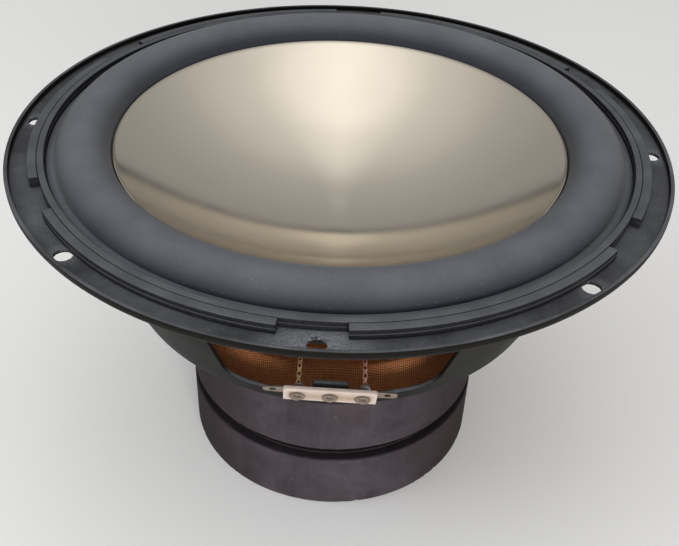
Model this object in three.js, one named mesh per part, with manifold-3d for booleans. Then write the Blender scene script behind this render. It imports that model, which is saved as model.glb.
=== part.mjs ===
// A ten-inch car subwoofer driver with a metal dish cone, standing on its magnets.
// Millimetres, +Z up towards the cone, -Y at the terminal strip.
// Origin: the centre of the underside of the lower magnet.

import * as THREE from "three";
import { mergeVertices } from "three/addons/utils/BufferGeometryUtils.js";
import Module from "manifold-3d";

const wasm = await Module();
wasm.setup();

// ---------- Driving dimensions ----------

const FIT_GAP = 0.3; // between pieces that touch on the real driver

const MAGNET_RADIUS = 65.4;
const MAGNET_CHAMFER = 1;
const MAGNET_BORE_RADIUS = 31;
const LOWER_MAGNET_TOP = 28.1;
const UPPER_MAGNET_HEIGHT = 28;

const YOKE_PLATE_RADIUS = 60.5;
const YOKE_PLATE_THICKNESS = 5.8;
const POLE_RADIUS = 23.9;
const VENT_RADIUS = 9;
const POLE_FILLET = 2; // between the yoke plate and the pole

const TOP_PLATE_RADIUS = 60;
const TOP_PLATE_BORE_RADIUS = 28.2;
const TOP_PLATE_THICKNESS = 7.7;

const SHEET = 1.5; // thickness of the basket's steel
const BASKET_BORE_RADIUS = 30.5;
const SHELF_UNDERSIDE = 84.5; // the step inside the basket that the spider is glued to
const FLANGE_UNDERSIDE = 145.8;
const FLANGE_RADIUS = 130;
const LIP_TOP = 150.1;
const LIP_THICKNESS = 1.4;

const MOUNTING_HOLES = 8;
const MOUNTING_HOLE_RADIUS = 3.3;
const MOUNTING_CIRCLE_RADIUS = 124.5;
const MOUNTING_TURN = -2.3; // degrees from the terminal side

const WINDOWS = 4;
const WINDOW_SILL = 93;
const WINDOW_HEAD = 135;
const WINDOW_SILL_HALF_WIDTH = 38.7;
const WINDOW_HEAD_HALF_WIDTH = 46.6;
const WINDOW_CORNER = 9;

const GASKET_TOP = 151.4;
const GASKET_INNER_RADIUS = 115.4;
const GASKET_OUTER_RADIUS = 121.5;
const GASKET_NOTCHES = 6;
const NOTCH_RADIUS = 118;
const NOTCH_HALF_ANGLE = 5.3;
const NOTCH_TURN = -3.1; // degrees from the terminal side

const CONE_RADIUS = 90.2;
const CONE_EDGE_HEIGHT = 148.7;
const DISH_CURVE_RADIUS = 138; // the dish is part of a sphere
const CONE_THICKNESS = 0.9;

const ROLL_CENTRE_RADIUS = 101.3;
const ROLL_FOOT_HEIGHT = 148.5;
const ROLL_HALF_WIDTH = 10.4;
const ROLL_HEIGHT = 8.1;
const ROLL_THICKNESS = 1.2;
const ROLL_STEPS = 6;
const SURROUND_LIP_RADIUS = 84;
const SURROUND_FLANGE_INNER_RADIUS = 110.8;
const SURROUND_FLANGE_OUTER_RADIUS = 114.9;

const FORMER_INNER_RADIUS = 24.9;
const FORMER_OUTER_RADIUS = 25.5;
const FORMER_BOTTOM = 54;
const FORMER_TOP = 115.8;
const WINDING_BOTTOM = 55;
const WINDING_TOP = 77;
const WINDING_OUTER_RADIUS = 27;
const COLLAR_BOTTOM = 95;
const COLLAR_TOP = 112;
const COLLAR_OUTER_RADIUS = 26.4;

const SPIDER_OUTER_RADIUS = 85.4;
const SPIDER_LANDING_RADIUS = 77;
const SPIDER_NECK_RADIUS = 29.5;
const SPIDER_THICKNESS = 0.8;
const SPIDER_WAVES = 5;
const SPIDER_WAVE_HEIGHT = 1.3;
const SPIDER_NECK_HEIGHT = 4.5;
const SPIDER_NECK_WIDTH = 1.2;

const STRIP_CENTRE = [-0.5, -94.4, 97.6]; // middle of the terminal board's rear face
const STRIP_LEAN = 20; // degrees that the board's top leans outwards
const STRIP_TURN = 2; // degrees that its right end sits lower
const BOARD_WIDTH = 33.5;
const BOARD_HEIGHT = 8.8;
const BOARD_THICKNESS = 1.6;
const TERMINAL_SPACING = 11.7;
const TERMINAL_DROP = 0.4; // the rivets sit this far below the board's middle
const LUG_INNER_END = 8;
const LUG_TIP = 24.2;
const LUG_WIDTH = 4.6;
const LUG_THICKNESS = 0.6;
const LUG_HOLE_OFFSET = 20.6;
const LUG_HOLE_RADIUS = 1.2;
const LUG_CORNER = 1.5;
const STRIP_HOLE_REACH = 12;
const TONGUE_WIDTH = 13;
const TONGUE_HEIGHT = 15;
const TONGUE_TOP = 6.5; // above the middle of the board

const RIVET_SHANK_RADIUS = 1.2;
const RIVET_TAIL_RADIUS = 2.1;
const RIVET_TAIL_HEIGHT = 0.7;
const RIVET_HEAD_RADIUS = 2.9;
const RIVET_HEAD_HEIGHT = 0.8;
const RIVET_CROWN = 0.86; // of the head's radius, where its top face starts
const RIVET_HOLLOW_RADIUS = 1;
const RIVET_HOLLOW_FLOOR = 0.3;

const LEAD_RADIUS = 0.9;
const LEAD_STEPS = 22;
const LEAD_OFFSET = 12; // from the driver's axis, sideways
const ANCHOR_HEIGHT = 107;
const ANCHOR_RADIUS = 1.8;
const ANCHOR_LENGTH = 1.2;

const BASKET_RIVETS = 4;
const BASKET_RIVET_CIRCLE_RADIUS = 46;
const BASKET_RIVET_RADIUS = 2.5;
const BASKET_RIVET_HEAD_RADIUS = 4;
const BASKET_RIVET_HEAD_HEIGHT = 1.6;
const BASKET_RIVET_DEPTH = 6.3; // into the top plate
const BASKET_RIVET_CROWN = 0.8; // of the head's size, where its edge turns over

const FINE = 64; // sides on the basket
const MEDIUM = 56;
const SMALL = 40;
const TINY = 14;
const CUTTER_MARGIN = 1; // how far a cutting solid reaches past what it cuts

// ---------- Heights that follow from the stack ----------

const YOKE_BOTTOM = LOWER_MAGNET_TOP + FIT_GAP;
const YOKE_TOP = YOKE_BOTTOM + YOKE_PLATE_THICKNESS;
const UPPER_MAGNET_BOTTOM = YOKE_TOP + FIT_GAP;
const UPPER_MAGNET_TOP = UPPER_MAGNET_BOTTOM + UPPER_MAGNET_HEIGHT;
const TOP_PLATE_BOTTOM = UPPER_MAGNET_TOP + FIT_GAP;
const TOP_PLATE_TOP = TOP_PLATE_BOTTOM + TOP_PLATE_THICKNESS;
const BASKET_BOTTOM = TOP_PLATE_TOP + FIT_GAP;
const SHELF_TOP = SHELF_UNDERSIDE + SHEET;
const FLANGE_TOP = FLANGE_UNDERSIDE + SHEET;
const DISH_CURVE_CENTRE = CONE_EDGE_HEIGHT + Math.sqrt(DISH_CURVE_RADIUS ** 2 - CONE_RADIUS ** 2);

// ---------- Materials ----------

function finish(color, roughness, metalness) {
  return new THREE.MeshStandardMaterial({ color, roughness, metalness });
}

const blackPaint = finish(0x1b1c1f, 0.45, 0.2);
const blackBoard = finish(0x3c3d42, 0.8, 0);
const ferrite = finish(0x554e52, 0.75, 0.1);
const darkSteel = finish(0x2c2a2d, 0.5, 0.8);
const rubber = finish(0x50545c, 0.7, 0);
const champagneMetal = finish(0xb9ab92, 0.25, 1);
const kraft = finish(0x8b6b45, 0.85, 0);
const aluminium = finish(0xb4b6b8, 0.35, 1);
const copper = finish(0xb5652f, 0.4, 1);
const spiderCloth = finish(0xa0643a, 0.9, 0);
const creamBoard = finish(0xddd2bd, 0.6, 0);
const tinned = finish(0xa9a49c, 0.4, 1);
const tinsel = finish(0xc08a4a, 0.5, 0.7);

// ---------- Solids and meshes ----------

const driver = new THREE.Group();

function solidOf(geometry) {
  const bare = geometry.clone();
  bare.deleteAttribute("normal");
  bare.deleteAttribute("uv");
  const merged = mergeVertices(bare, 1e-4);
  return new wasm.Manifold(
    new wasm.Mesh({
      numProp: 3,
      vertProperties: merged.attributes.position.array,
      triVerts: new Uint32Array(merged.index.array),
    }),
  );
}

function geometryOf(solid) {
  const mesh = solid.getMesh();
  const geometry = new THREE.BufferGeometry();
  geometry.setAttribute(
    "position",
    new THREE.BufferAttribute(new Float32Array(mesh.vertProperties), 3),
  );
  geometry.setIndex(new THREE.BufferAttribute(new Uint32Array(mesh.triVerts), 1));
  geometry.computeVertexNormals();
  return geometry;
}

function place(name, geometry, material, parent = driver) {
  const mesh = new THREE.Mesh(geometry, material);
  mesh.name = name;
  parent.add(mesh);
  return mesh;
}

// A profile of [radius, height] points, anticlockwise, turned round the Z axis.
function turned(profile, sides) {
  const points = profile.map(([radius, height]) => new THREE.Vector2(radius, height));
  if (profile[0][0] > 0) points.push(points[0].clone());
  return new THREE.LatheGeometry(points, sides).rotateX(Math.PI / 2);
}

function ring(inner, outer, bottom, top, chamfer, sides) {
  return turned(
    [
      [inner, bottom],
      [outer - chamfer, bottom],
      [outer, bottom + chamfer],
      [outer, top - chamfer],
      [outer - chamfer, top],
      [inner, top],
    ],
    sides,
  );
}

function tube(inner, outer, bottom, top, sides) {
  return turned(
    [
      [inner, bottom],
      [outer, bottom],
      [outer, top],
      [inner, top],
    ],
    sides,
  );
}

// An upright round bar from one height to another.
function bar(radius, bottom, top, sides) {
  return new THREE.CylinderGeometry(radius, radius, top - bottom, sides)
    .rotateX(Math.PI / 2)
    .translate(0, 0, (bottom + top) / 2);
}

// A closed outline whose corners are rounded over the given reach.
function roundedOutline(corners, reach) {
  const shape = new THREE.Shape();
  corners.forEach((corner, i) => {
    const point = new THREE.Vector2(...corner);
    const before = new THREE.Vector2(...corners.at(i - 1)).sub(point).setLength(reach).add(point);
    const after = new THREE.Vector2(...corners[(i + 1) % corners.length])
      .sub(point)
      .setLength(reach)
      .add(point);
    if (i === 0) shape.moveTo(before.x, before.y);
    else shape.lineTo(before.x, before.y);
    shape.quadraticCurveTo(point.x, point.y, after.x, after.y);
  });
  shape.closePath();
  return shape;
}

function degrees(angle) {
  return THREE.MathUtils.degToRad(angle);
}

// A copy of a cutting solid, turned round the Z axis.
function aroundAxis(geometry, angle) {
  return solidOf(geometry.clone().rotateZ(degrees(angle)));
}

// ---------- Magnet stack ----------

place(
  "lower_magnet",
  ring(MAGNET_BORE_RADIUS, MAGNET_RADIUS, 0, LOWER_MAGNET_TOP, MAGNET_CHAMFER, MEDIUM),
  ferrite,
);

place(
  "pole_yoke",
  turned(
    [
      [VENT_RADIUS, YOKE_BOTTOM],
      [YOKE_PLATE_RADIUS, YOKE_BOTTOM],
      [YOKE_PLATE_RADIUS, YOKE_TOP],
      [POLE_RADIUS + POLE_FILLET, YOKE_TOP],
      [POLE_RADIUS, YOKE_TOP + POLE_FILLET],
      [POLE_RADIUS, TOP_PLATE_TOP],
      [VENT_RADIUS, TOP_PLATE_TOP],
    ],
    MEDIUM,
  ),
  darkSteel,
);

place(
  "upper_magnet",
  ring(
    MAGNET_BORE_RADIUS,
    MAGNET_RADIUS,
    UPPER_MAGNET_BOTTOM,
    UPPER_MAGNET_TOP,
    MAGNET_CHAMFER,
    MEDIUM,
  ),
  ferrite,
);

// The four rivets stand in blind holes in the top plate.
function rivetHoles(bottom, top) {
  const clearance = BASKET_RIVET_RADIUS + FIT_GAP;
  const hole = bar(clearance, bottom, top, TINY).translate(BASKET_RIVET_CIRCLE_RADIUS, 0, 0);
  return Array.from({ length: BASKET_RIVETS }, (_, i) =>
    aroundAxis(hole, (360 / BASKET_RIVETS) * (i + 0.5)),
  );
}

const rivetFoot = TOP_PLATE_TOP - BASKET_RIVET_DEPTH;
const topPlate = rivetHoles(rivetFoot - FIT_GAP, TOP_PLATE_TOP + CUTTER_MARGIN).reduce(
  (plate, hole) => plate.subtract(hole),
  solidOf(
    tube(TOP_PLATE_BORE_RADIUS, TOP_PLATE_RADIUS, TOP_PLATE_BOTTOM, TOP_PLATE_TOP, MEDIUM),
  ),
);
place("top_plate", geometryOf(topPlate), darkSteel);

// ---------- Basket ----------

// The bowl's faces as [radius, height]: floor, riser, shelf, sloping wall, root of the flange.
const BOWL_OUTSIDE = [
  [61.5, BASKET_BOTTOM],
  [64, 73],
  [65.6, 82.6],
  [68, SHELF_UNDERSIDE],
  [86.6, SHELF_UNDERSIDE],
  [88.8, 86.4],
  [109.9, 134],
  [112, 142.6],
  [114, FLANGE_UNDERSIDE],
];
const BOWL_INSIDE = [
  [60.8, BASKET_BOTTOM + SHEET],
  [62.5, 74],
  [64.2, 83.4],
  [67.2, SHELF_TOP],
  [85.8, SHELF_TOP],
  [87.4, 87.4],
  [108.3, 134.5],
  [110.4, 143.2],
  [112.4, FLANGE_TOP],
];
const FLANGE_BEND = 1.2; // where the flange turns up into the lip
const LIP_ROUNDING = 0.4;

// The pressed steel bowl with its flange and upstanding lip.
function basketBowl() {
  const lipInside = FLANGE_RADIUS - LIP_THICKNESS;
  return turned(
    [
      [BASKET_BORE_RADIUS, BASKET_BOTTOM],
      ...BOWL_OUTSIDE,
      [FLANGE_RADIUS - FLANGE_BEND, FLANGE_UNDERSIDE],
      [FLANGE_RADIUS, FLANGE_UNDERSIDE + FLANGE_BEND],
      [FLANGE_RADIUS, LIP_TOP - LIP_ROUNDING],
      [FLANGE_RADIUS - LIP_ROUNDING, LIP_TOP],
      [lipInside, LIP_TOP],
      [lipInside, FLANGE_TOP],
      ...BOWL_INSIDE.toReversed(),
      [BASKET_BORE_RADIUS, BASKET_BOTTOM + SHEET],
    ],
    FINE,
  );
}

function windowCutter() {
  const outline = roundedOutline(
    [
      [-WINDOW_SILL_HALF_WIDTH, WINDOW_SILL],
      [WINDOW_SILL_HALF_WIDTH, WINDOW_SILL],
      [WINDOW_HEAD_HALF_WIDTH, WINDOW_HEAD],
      [-WINDOW_HEAD_HALF_WIDTH, WINDOW_HEAD],
    ],
    WINDOW_CORNER,
  );
  const reach = FLANGE_RADIUS;
  return new THREE.ExtrudeGeometry(outline, {
    depth: reach / 2,
    bevelEnabled: false,
    curveSegments: 5,
  })
    .rotateX(Math.PI / 2)
    .translate(0, -reach / 2, 0);
}

// Moves a geometry from the terminal strip's own frame to the driver's.
const stripFrame = new THREE.Matrix4().compose(
  new THREE.Vector3(...STRIP_CENTRE),
  new THREE.Quaternion().setFromEuler(new THREE.Euler(degrees(STRIP_LEAN), degrees(STRIP_TURN), 0)),
  new THREE.Vector3(1, 1, 1),
);

// A round hole through the strip's layers; local Y is the board's depth.
function stripHole(x, z, radius) {
  return new THREE.CylinderGeometry(radius, radius, STRIP_HOLE_REACH, TINY).translate(x, 0, z);
}

const rivetHoleRadius = RIVET_SHANK_RADIUS + FIT_GAP;

// The upright tongue behind the terminal board, bent up from the window's sill.
const tongue = new THREE.BoxGeometry(TONGUE_WIDTH, SHEET, TONGUE_HEIGHT)
  .translate(0, SHEET / 2 + FIT_GAP, TONGUE_TOP - TONGUE_HEIGHT / 2)
  .applyMatrix4(stripFrame);

let basket = solidOf(basketBowl());
for (let i = 0; i < WINDOWS; i++) {
  basket = basket.subtract(aroundAxis(windowCutter(), (360 / WINDOWS) * i));
}
const mountingHole = bar(
  MOUNTING_HOLE_RADIUS,
  FLANGE_UNDERSIDE - CUTTER_MARGIN,
  FLANGE_TOP + CUTTER_MARGIN,
  TINY,
).translate(0, -MOUNTING_CIRCLE_RADIUS, 0);
for (let i = 0; i < MOUNTING_HOLES; i++) {
  const angle = (360 / MOUNTING_HOLES) * i + MOUNTING_TURN;
  basket = basket.subtract(aroundAxis(mountingHole, angle));
}
const floorHoles = rivetHoles(
  BASKET_BOTTOM - CUTTER_MARGIN,
  BASKET_BOTTOM + SHEET + CUTTER_MARGIN,
);
for (const hole of floorHoles) basket = basket.subtract(hole);
basket = basket
  .add(solidOf(tongue))
  .subtract(solidOf(stripHole(0, -TERMINAL_DROP, rivetHoleRadius).applyMatrix4(stripFrame)));
place("basket", geometryOf(basket), blackPaint);

const basketFloor = BASKET_BOTTOM + SHEET + FIT_GAP;
for (let i = 0; i < BASKET_RIVETS; i++) {
  const angle = degrees((360 / BASKET_RIVETS) * (i + 0.5));
  const rivet = place(
    "basket_rivet_" + (i + 1),
    turned(
      [
        [0, rivetFoot],
        [BASKET_RIVET_RADIUS, rivetFoot],
        [BASKET_RIVET_RADIUS, basketFloor],
        [BASKET_RIVET_HEAD_RADIUS, basketFloor],
        [
          BASKET_RIVET_HEAD_RADIUS * BASKET_RIVET_CROWN,
          basketFloor + BASKET_RIVET_HEAD_HEIGHT * BASKET_RIVET_CROWN,
        ],
        [0, basketFloor + BASKET_RIVET_HEAD_HEIGHT],
      ],
      TINY,
    ),
    darkSteel,
  );
  rivet.position.set(
    BASKET_RIVET_CIRCLE_RADIUS * Math.cos(angle),
    BASKET_RIVET_CIRCLE_RADIUS * Math.sin(angle),
    0,
  );
}

// ---------- Gasket ring on the flange ----------

function notchCutter() {
  const half = degrees(NOTCH_HALF_ANGLE);
  const outer = GASKET_OUTER_RADIUS + CUTTER_MARGIN;
  const front = -Math.PI / 2;
  const sector = new THREE.Shape();
  sector.absarc(0, 0, NOTCH_RADIUS, front - half, front + half, false);
  sector.lineTo(outer * Math.sin(half), -outer * Math.cos(half));
  sector.absarc(0, 0, outer, front + half, front - half, true);
  return new THREE.ExtrudeGeometry(sector, {
    depth: GASKET_TOP + CUTTER_MARGIN - FLANGE_TOP,
    bevelEnabled: false,
    curveSegments: 4,
  }).translate(0, 0, FLANGE_TOP);
}

let gasket = solidOf(
  tube(GASKET_INNER_RADIUS, GASKET_OUTER_RADIUS, FLANGE_TOP + FIT_GAP, GASKET_TOP, FINE),
);
for (let i = 0; i < GASKET_NOTCHES; i++) {
  const angle = (360 / GASKET_NOTCHES) * i + NOTCH_TURN;
  gasket = gasket.subtract(aroundAxis(notchCutter(), angle));
}
place("gasket_ring", geometryOf(gasket), blackBoard);

// ---------- Cone ----------

// Height of a sphere that lies the given depth under the dish's upper face.
function dishHeight(radius, depth) {
  return DISH_CURVE_CENTRE - Math.sqrt((DISH_CURVE_RADIUS + depth) ** 2 - radius ** 2);
}

const CONE_RINGS = 8;
const coneRadii = Array.from({ length: CONE_RINGS + 1 }, (_, i) => (CONE_RADIUS * i) / CONE_RINGS);
place(
  "cone",
  turned(
    [
      ...coneRadii.map((radius) => [radius, dishHeight(radius, CONE_THICKNESS)]),
      ...coneRadii.toReversed().map((radius) => [radius, dishHeight(radius, 0)]),
    ],
    MEDIUM,
  ),
  champagneMetal,
);

// ---------- Surround ----------

// Points along a half roll, from one foot over the crest to the other.
function rollArc(halfWidth, height) {
  return Array.from({ length: ROLL_STEPS + 1 }, (_, i) => {
    const angle = Math.PI * (1 - i / ROLL_STEPS);
    return [
      ROLL_CENTRE_RADIUS + halfWidth * Math.cos(angle),
      ROLL_FOOT_HEIGHT + height * Math.sin(angle),
    ];
  });
}

function surroundProfile() {
  const lipDepth = CONE_THICKNESS + FIT_GAP;
  const lipTop = (radius) => dishHeight(radius, lipDepth);
  const lipBottom = (radius) => dishHeight(radius, lipDepth + ROLL_THICKNESS);
  const flangeBottom = FLANGE_TOP + FIT_GAP;
  const flangeTop = flangeBottom + ROLL_THICKNESS;
  return [
    [SURROUND_LIP_RADIUS, lipBottom(SURROUND_LIP_RADIUS)],
    [CONE_RADIUS + ROLL_THICKNESS, lipBottom(CONE_RADIUS)],
    ...rollArc(ROLL_HALF_WIDTH - ROLL_THICKNESS, ROLL_HEIGHT - ROLL_THICKNESS),
    [SURROUND_FLANGE_INNER_RADIUS, flangeBottom],
    [SURROUND_FLANGE_OUTER_RADIUS, flangeBottom],
    [SURROUND_FLANGE_OUTER_RADIUS, flangeTop],
    [SURROUND_FLANGE_INNER_RADIUS + ROLL_THICKNESS, flangeTop],
    ...rollArc(ROLL_HALF_WIDTH, ROLL_HEIGHT).reverse(),
    [CONE_RADIUS + FIT_GAP, lipTop(CONE_RADIUS)],
    [SURROUND_LIP_RADIUS, lipTop(SURROUND_LIP_RADIUS)],
  ];
}

place("surround", turned(surroundProfile(), MEDIUM), rubber);

// ---------- Voice coil and spider ----------

place(
  "coil_former",
  tube(FORMER_INNER_RADIUS, FORMER_OUTER_RADIUS, FORMER_BOTTOM, FORMER_TOP, SMALL),
  aluminium,
);
place(
  "coil_winding",
  tube(
    FORMER_OUTER_RADIUS + FIT_GAP,
    WINDING_OUTER_RADIUS,
    WINDING_BOTTOM,
    WINDING_TOP,
    SMALL,
  ),
  copper,
);
place(
  "former_collar",
  tube(FORMER_OUTER_RADIUS + FIT_GAP, COLLAR_OUTER_RADIUS, COLLAR_BOTTOM, COLLAR_TOP, SMALL),
  kraft,
);

// The spider: a flat landing on the shelf, round waves, and an upturned neck at the former.
function spiderProfile() {
  const stepsPerWave = 2;
  const steps = SPIDER_WAVES * stepsPerWave;
  const base = SHELF_TOP + FIT_GAP;
  const neckTop = base + SPIDER_NECK_HEIGHT;
  const neckInner = FORMER_OUTER_RADIUS + FIT_GAP;
  const waves = Array.from({ length: steps + 1 }, (_, i) => [
    SPIDER_NECK_RADIUS + ((SPIDER_LANDING_RADIUS - SPIDER_NECK_RADIUS) * i) / steps,
    base + SPIDER_WAVE_HEIGHT * (1 - Math.cos((2 * Math.PI * i) / stepsPerWave)),
  ]);
  const lower = [[neckInner, base], ...waves, [SPIDER_OUTER_RADIUS, base]];
  const upper = [
    [SPIDER_OUTER_RADIUS, base + SPIDER_THICKNESS],
    ...waves.reverse().map(([radius, height]) => [radius, height + SPIDER_THICKNESS]),
    [neckInner + SPIDER_NECK_WIDTH, neckTop],
    [neckInner, neckTop],
  ];
  return [...lower, ...upper];
}

place("spider", turned(spiderProfile(), MEDIUM), spiderCloth);

// ---------- Terminal strip ----------

const strip = new THREE.Group();
strip.applyMatrix4(stripFrame);
driver.add(strip);

const terminalX = [-TERMINAL_SPACING, 0, TERMINAL_SPACING];
let board = solidOf(
  new THREE.BoxGeometry(BOARD_WIDTH, BOARD_THICKNESS, BOARD_HEIGHT).translate(
    0,
    -BOARD_THICKNESS / 2,
    0,
  ),
);
for (const x of terminalX) {
  board = board.subtract(solidOf(stripHole(x, -TERMINAL_DROP, rivetHoleRadius)));
}
place("terminal_board", geometryOf(board), creamBoard, strip);

// A solder lug that lies behind the board and sticks out past its end.
function lug(side) {
  const half = LUG_WIDTH / 2;
  const outline = roundedOutline(
    [
      [LUG_INNER_END, -half],
      [LUG_TIP, -half],
      [LUG_TIP, half],
      [LUG_INNER_END, half],
    ].map(([x, z]) => [x, z - TERMINAL_DROP]),
    LUG_CORNER,
  );
  const plate = new THREE.ExtrudeGeometry(outline, {
    depth: LUG_THICKNESS,
    bevelEnabled: false,
    curveSegments: 4,
  })
    .rotateX(Math.PI / 2)
    .translate(0, LUG_THICKNESS + FIT_GAP, 0);
  const drilled = solidOf(plate)
    .subtract(solidOf(stripHole(TERMINAL_SPACING, -TERMINAL_DROP, rivetHoleRadius)))
    .subtract(solidOf(stripHole(LUG_HOLE_OFFSET, -TERMINAL_DROP, LUG_HOLE_RADIUS)));
  return geometryOf(side > 0 ? drilled : drilled.mirror([1, 0, 0]));
}
place("solder_lug_left", lug(-1), tinned, strip);
place("solder_lug_right", lug(1), tinned, strip);

// A rivet of the strip: a head with a hollow in front of the board, a turned-over tail behind.
function stripRivet(grip) {
  const front = BOARD_THICKNESS + FIT_GAP;
  const back = -(FIT_GAP + grip + FIT_GAP);
  return turned(
    [
      [0, back - RIVET_TAIL_HEIGHT],
      [RIVET_TAIL_RADIUS, back - RIVET_TAIL_HEIGHT],
      [RIVET_TAIL_RADIUS, back],
      [RIVET_SHANK_RADIUS, back],
      [RIVET_SHANK_RADIUS, front],
      [RIVET_HEAD_RADIUS, front],
      [RIVET_HEAD_RADIUS * RIVET_CROWN, front + RIVET_HEAD_HEIGHT],
      [RIVET_HOLLOW_RADIUS, front + RIVET_HEAD_HEIGHT],
      [RIVET_HOLLOW_RADIUS * 0.6, front + RIVET_HOLLOW_FLOOR],
      [0, front + RIVET_HOLLOW_FLOOR],
    ],
    TINY,
  ).rotateX(Math.PI / 2);
}
const rivetNames = ["terminal_rivet_left", "terminal_rivet_middle", "terminal_rivet_right"];
terminalX.forEach((x, i) => {
  const grip = x === 0 ? SHEET : LUG_THICKNESS;
  const rivet = place(rivetNames[i], stripRivet(grip), tinned, strip);
  rivet.position.set(x, 0, -TERMINAL_DROP);
});

// ---------- Tinsel leads and the anchors that they are soldered to ----------

// Points of the right lead, from the back of its rivet to the former; the left one mirrors it.
const LEAD_ROUTE = [
  [-90.2, 97.4],
  [-87.6, 98.3],
  [-84, 98.7],
  [-79.5, 98.2],
  [-75, 97.2],
  [-70, 96.2],
  [-64, 95.5],
  [-58, 95.4],
  [-52, 95.9],
  [-46.5, 97.3],
  [-41.5, 99.3],
  [-37, 101.6],
  [-33, 104],
  [-29.5, 106],
  [-26.4, 107],
];

function lead(side) {
  const route = LEAD_ROUTE.map(
    ([y, z]) => new THREE.Vector3(side * LEAD_OFFSET, y, z),
  );
  const section = new THREE.Shape().absarc(0, 0, LEAD_RADIUS, 0, 2 * Math.PI, false);
  return new THREE.ExtrudeGeometry(section, {
    extrudePath: new THREE.CatmullRomCurve3(route),
    steps: LEAD_STEPS,
    curveSegments: 4,
    bevelEnabled: false,
  });
}

// A small copper pad on the collar, square to the former.
function anchor(side) {
  const seat = COLLAR_OUTER_RADIUS + FIT_GAP;
  const angle = Math.asin(LEAD_OFFSET / (seat + ANCHOR_LENGTH));
  return new THREE.CylinderGeometry(ANCHOR_RADIUS, ANCHOR_RADIUS, ANCHOR_LENGTH, TINY)
    .translate(0, -(seat + ANCHOR_LENGTH / 2), 0)
    .rotateZ(side * angle)
    .translate(0, 0, ANCHOR_HEIGHT);
}

place("tinsel_lead_left", lead(-1), tinsel);
place("tinsel_lead_right", lead(1), tinsel);
place("lead_anchor_left", anchor(-1), copper);
place("lead_anchor_right", anchor(1), copper);

export default driver;
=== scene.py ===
"""Looks of a ten-inch car subwoofer driver with a metal dish cone, standing on its magnets.

Profiles and places are in millimetres in the driver's own frame: +Z up towards the cone, -Y at the
terminal strip, and angles in degrees from -Y towards +X. Meshes are made in metres.
"""

import math

import bmesh
import bpy
import numpy as np
from mathutils import Euler, Matrix, Vector, noise


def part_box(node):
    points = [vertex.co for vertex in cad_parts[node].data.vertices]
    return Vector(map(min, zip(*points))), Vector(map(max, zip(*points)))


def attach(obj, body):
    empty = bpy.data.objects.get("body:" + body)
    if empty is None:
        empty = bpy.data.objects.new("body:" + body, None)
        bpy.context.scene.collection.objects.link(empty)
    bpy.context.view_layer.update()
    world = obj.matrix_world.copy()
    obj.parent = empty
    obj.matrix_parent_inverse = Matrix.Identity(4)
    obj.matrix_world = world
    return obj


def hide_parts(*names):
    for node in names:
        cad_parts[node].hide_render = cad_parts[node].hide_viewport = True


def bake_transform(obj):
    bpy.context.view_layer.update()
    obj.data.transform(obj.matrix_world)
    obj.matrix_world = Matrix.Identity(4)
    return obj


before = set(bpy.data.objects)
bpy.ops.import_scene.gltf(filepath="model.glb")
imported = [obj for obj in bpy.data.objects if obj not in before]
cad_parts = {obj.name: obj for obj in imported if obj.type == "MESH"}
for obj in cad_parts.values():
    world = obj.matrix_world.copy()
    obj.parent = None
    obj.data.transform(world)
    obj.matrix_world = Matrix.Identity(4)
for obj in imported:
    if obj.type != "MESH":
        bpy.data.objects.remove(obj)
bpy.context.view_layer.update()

MM = 0.001
FRAME_BODY = "frame"
MOVING_BODY = "cone_assembly"


def extent(node):
    """Outer radius, bottom and top of a CAD node, in millimetres."""
    low, high = (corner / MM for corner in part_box(node))
    return high.x, low.z, high.z


# ---- Sizes taken from the frame ----

FLANGE_RADIUS, BASKET_BOTTOM, LIP_TOP = extent("basket")
MAGNET_RADIUS, _, LOWER_MAGNET_TOP = extent("lower_magnet")
_, UPPER_MAGNET_BOTTOM, UPPER_MAGNET_TOP = extent("upper_magnet")
YOKE_RADIUS, YOKE_BOTTOM, POLE_TOP = extent("pole_yoke")
TOP_PLATE_RADIUS, TOP_PLATE_BOTTOM, TOP_PLATE_TOP = extent("top_plate")
GASKET_OUTER_RADIUS, GASKET_BOTTOM, GASKET_TOP = extent("gasket_ring")
CONE_RADIUS, _, CONE_EDGE_HEIGHT = extent("cone")
SURROUND_OUTER_RADIUS, _, SURROUND_TOP = extent("surround")
SPIDER_RADIUS, SPIDER_BASE, SPIDER_TOP = extent("spider")
FORMER_RADIUS, FORMER_BOTTOM, FORMER_TOP = extent("coil_former")
COLLAR_RADIUS, COLLAR_BOTTOM, COLLAR_TOP = extent("former_collar")
WINDING_RADIUS, WINDING_BOTTOM, WINDING_TOP = extent("coil_winding")

# ---- Sizes that the boxes don't give, as in the CAD source ----

SHEET = 1.5
LIP_THICKNESS = 1.4
FLANGE_TOP = 147.3
SHELF_TOP = 86.0
BASKET_BORE_RADIUS = 30.5
WALL_FOOT_RADIUS, WALL_HEAD_RADIUS = 86.6, 108.3
WALL_HEAD_HEIGHT = 134.5
FLANGE_INNER_RADIUS = 111
WINDOWS = 4
MOUNTING_HOLES = 8
MOUNTING_CIRCLE_RADIUS = 124.5
MOUNTING_HOLE_RADIUS = 3.3
MOUNTING_TURN = -2.3
WINDOW_SILL, WINDOW_HEAD = 93, 135
WINDOW_HALF_ANGLE = 25.1
WINDOW_CORNER = 9
MAGNET_BORE_RADIUS = 31
POLE_RADIUS = 23.9
VENT_RADIUS = 9
YOKE_THICKNESS = 5.8
TOP_PLATE_BORE_RADIUS = 28.2
GASKET_INNER_RADIUS = 115.4
GASKET_SEAM_RADIUS = 118
GASKET_NOTCHES = 6
NOTCH_HALF_ANGLE = 5.3
NOTCH_TURN = -3.1
DISH_CURVE_RADIUS = 138
CONE_THICKNESS = 0.9
ROLL_CENTRE_RADIUS = 101.3
ROLL_FOOT_HEIGHT = 148.5
ROLL_HALF_WIDTH = 10.4
ROLL_THICKNESS = 1.2
SURROUND_LIP_RADIUS = 84
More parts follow.
